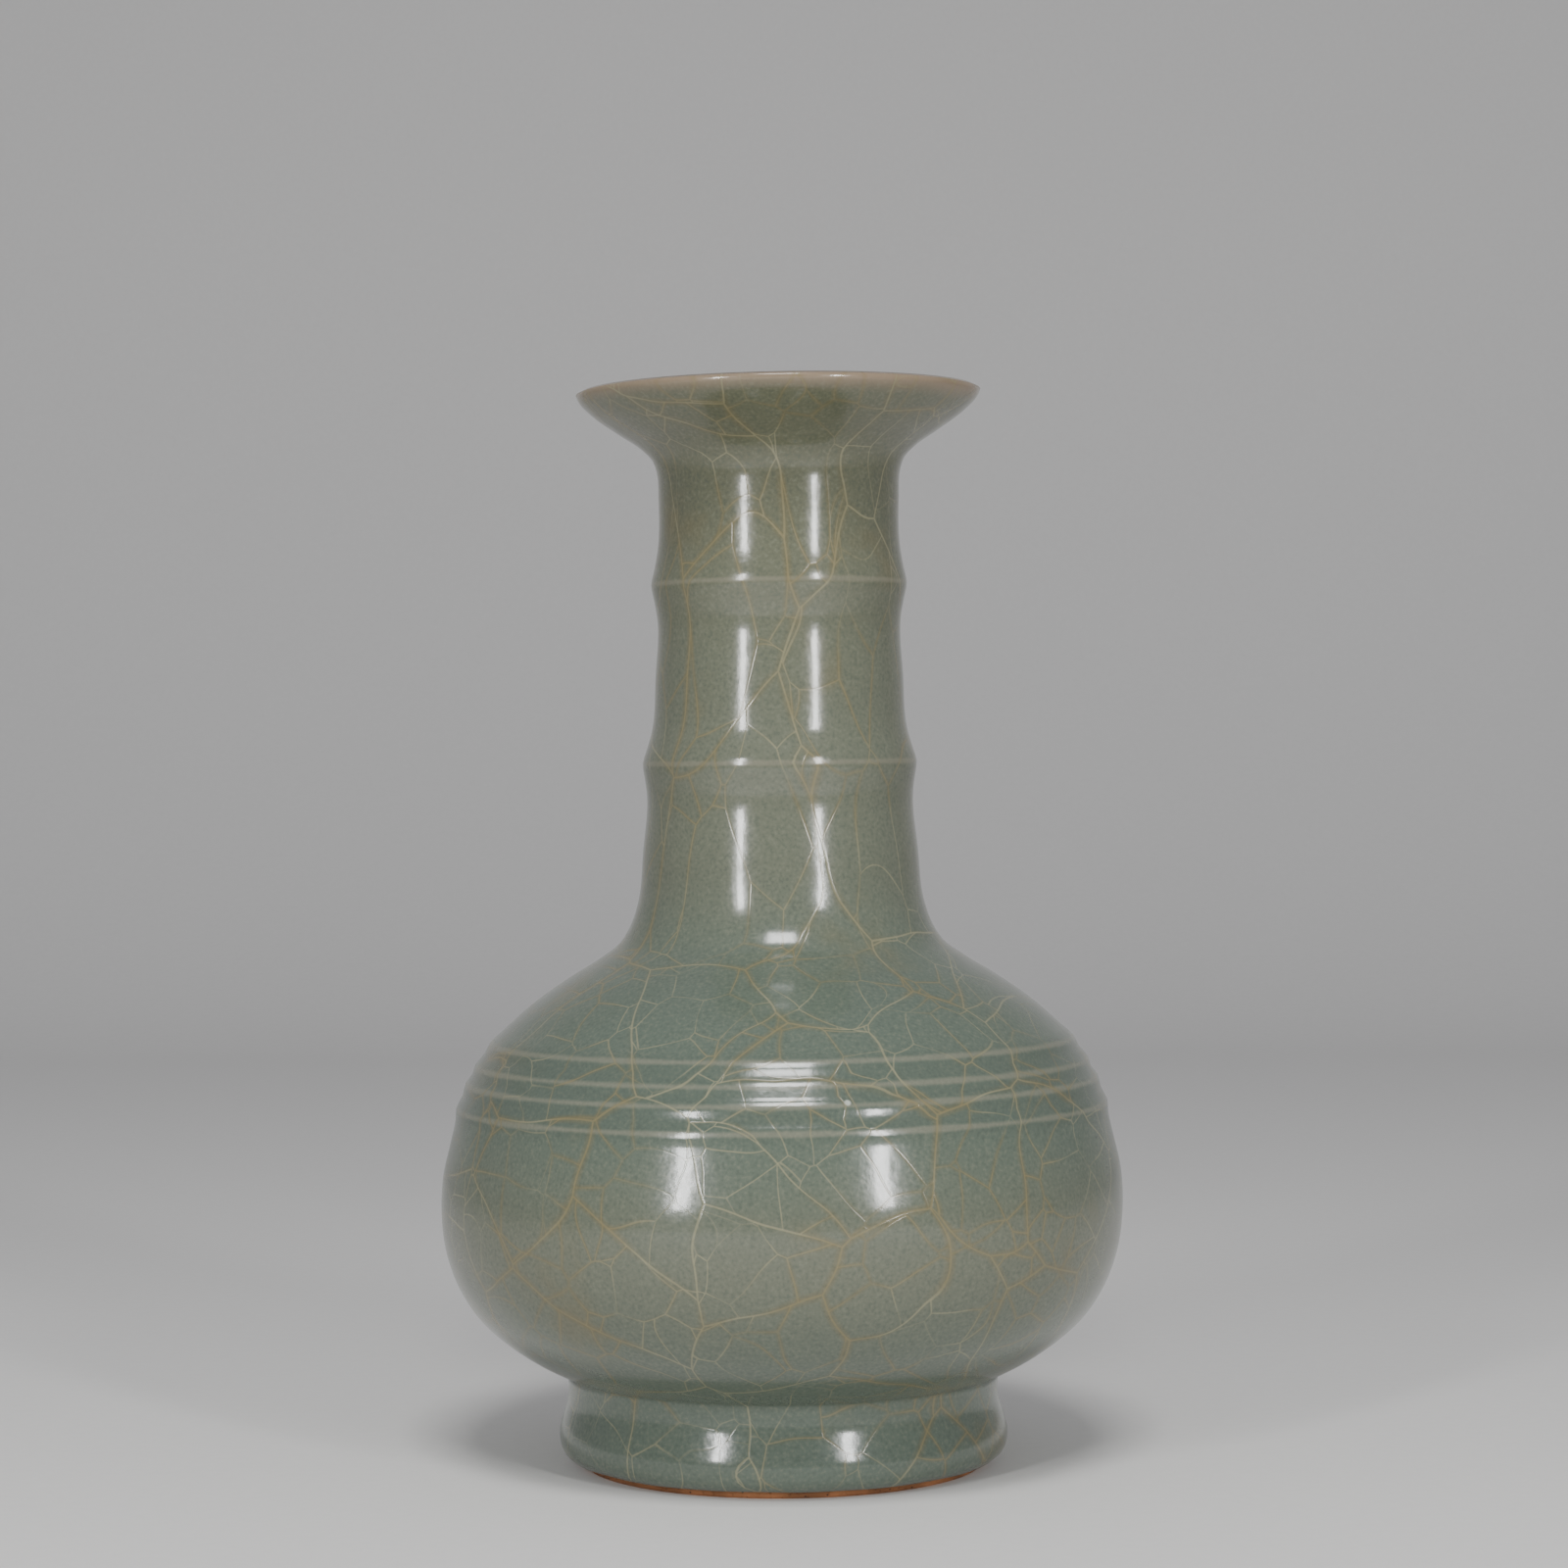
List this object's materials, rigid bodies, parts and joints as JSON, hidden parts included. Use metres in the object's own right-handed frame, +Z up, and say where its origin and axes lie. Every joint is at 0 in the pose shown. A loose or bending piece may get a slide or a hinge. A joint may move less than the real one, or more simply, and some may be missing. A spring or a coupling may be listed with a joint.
{
  "type": "dish-mouth vase",
  "caption": "Wheel-thrown vase with a shallow dish mouth, a tall ringed neck, a ridged shoulder, a full belly and a flared foot ring, under a crackled celadon glaze.",
  "frame": {"origin": "centre of the foot ring's flat rest, on the surface the vase stands on", "axes": "+Z up along the vase's axis; -Y faces the viewer; the vase is round, so X and Y are alike"},
  "size_m": [0.1524, 0.1524, 0.24],
  "materials": {
    "stoneware_clay": "bare fired clay, dull orange-brown",
    "celadon_glaze": "satin gloss, grey-green, with fine stained crackle"
  },
  "bodies": {
    "root": {"foot_ring": "stoneware_clay", "lower_body": "stoneware_clay", "upper_body": "stoneware_clay", "neck": "stoneware_clay", "dish_mouth": "stoneware_clay", "outer_glaze": "celadon_glaze", "inner_glaze": "celadon_glaze", "base_glaze": "celadon_glaze"}
  },
  "joints": []
}
